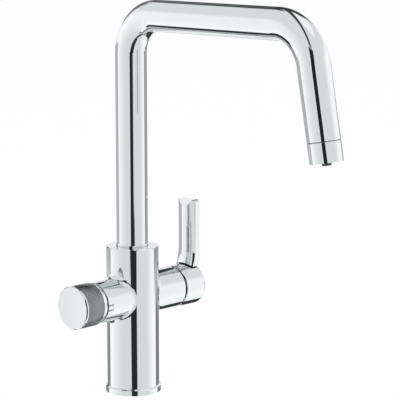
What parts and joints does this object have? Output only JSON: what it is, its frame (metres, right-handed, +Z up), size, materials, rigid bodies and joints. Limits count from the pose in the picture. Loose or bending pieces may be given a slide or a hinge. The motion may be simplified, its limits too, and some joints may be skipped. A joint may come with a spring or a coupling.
{
  "type": "filtered water kitchen tap",
  "caption": "Chrome kitchen tap with a tall swivelling U spout, a side lever for mixed water and a ribbed side knob for filtered water, with its worktop fixing.",
  "frame": {"origin": "centre of the base flange's underside, on the worktop", "axes": "+Z up along the body and riser, the spout reaches along -Y at rest, the lever's arm points along +X and the filter knob's arm along -X"},
  "size_m": [0.1498, 0.2645, 0.4135],
  "materials": {
    "chrome": "polished chrome plate",
    "ribbed_chrome": "chrome plate over fine ribs",
    "brass": "machined brass",
    "steel": "stainless steel",
    "rubber": "black rubber",
    "ceramic": "lapped ceramic",
    "pale_plastic": "moulded plastic",
    "dark_plastic": "moulded plastic",
    "grey_plastic": "gloss plastic",
    "clear_plastic": "pale tube"
  },
  "bodies": {
    "tap_body": {"body_casting": "chrome", "base_flange": "chrome", "base_gasket": "rubber", "threaded_shank": "brass", "deck_gasket": "rubber", "clamp_washer": "steel", "clamp_nut": "brass", "hose_manifold": "brass", "hot_socket": "brass", "cold_socket": "brass", "filtered_socket": "brass", "manifold_seal": "rubber", "spout_screw": "steel", "filter_valve_body": "brass", "filter_valve_seal": "rubber", "filter_fixed_disc": "ceramic", "cartridge_port_seals": "rubber", "cartridge_base": "pale_plastic", "cartridge_housing": "pale_plastic", "cartridge_fixed_disc": "ceramic", "cartridge_nut": "brass", "cartridge_dome": "chrome"},
    "spout": {"spout_tube": "chrome", "spout_foot": "brass", "spout_o_rings": "rubber", "spout_glide_rings": "pale_plastic", "filtered_water_tube": "clear_plastic", "outlet_sleeve": "chrome", "aerator_body": "dark_plastic", "filtered_nozzle": "dark_plastic"},
    "knob": {"filter_knob": "chrome", "knob_grip_ring": "ribbed_chrome", "knob_face_cap": "chrome", "knob_insert": "pale_plastic", "knob_screw": "steel", "filter_spindle": "brass", "filter_turning_disc": "ceramic"},
    "temperature_rotor": {"cartridge_rotor": "pale_plastic", "stem_pin": "steel"},
    "lever": {"lever_handle": "chrome", "lever_stem": "steel", "lever_screw": "steel", "lever_plug": "grey_plastic"},
    "mixing_carrier": {"mixing_disc": "ceramic", "disc_carrier": "pale_plastic"}
  },
  "joints": [
    {"name": "spout_swivel", "type": "hinge", "parent": "tap_body", "child": "spout", "pos_m": [0, 0, 0.104], "axis": [0, 0, 1], "range_deg": [-75, 75]},
    {"name": "filter_knob_turn", "type": "hinge", "parent": "tap_body", "child": "knob", "pos_m": [-0.05, 0, 0.0867], "axis": [-1, 0, 0], "range_deg": [0, 90]},
    {"name": "temperature_turn", "type": "hinge", "parent": "tap_body", "child": "temperature_rotor", "pos_m": [0.036, 0, 0.0867], "axis": [1, 0, 0], "range_deg": [-50, 50]},
    {"name": "lever_lift", "type": "hinge", "parent": "temperature_rotor", "child": "lever", "pos_m": [0.036, 0, 0.0867], "axis": [0, 1, 0], "range_deg": [0, 22]},
    {"name": "mixing_disc_slide", "type": "slide", "parent": "temperature_rotor", "child": "mixing_carrier", "axis": [0, 0, 1], "range_m": [0, 0.0034]}
  ],
  "couplings": [
    {"joint": "mixing_disc_slide", "follows": "lever_lift", "m_per_rad": 0.00878}
  ]
}
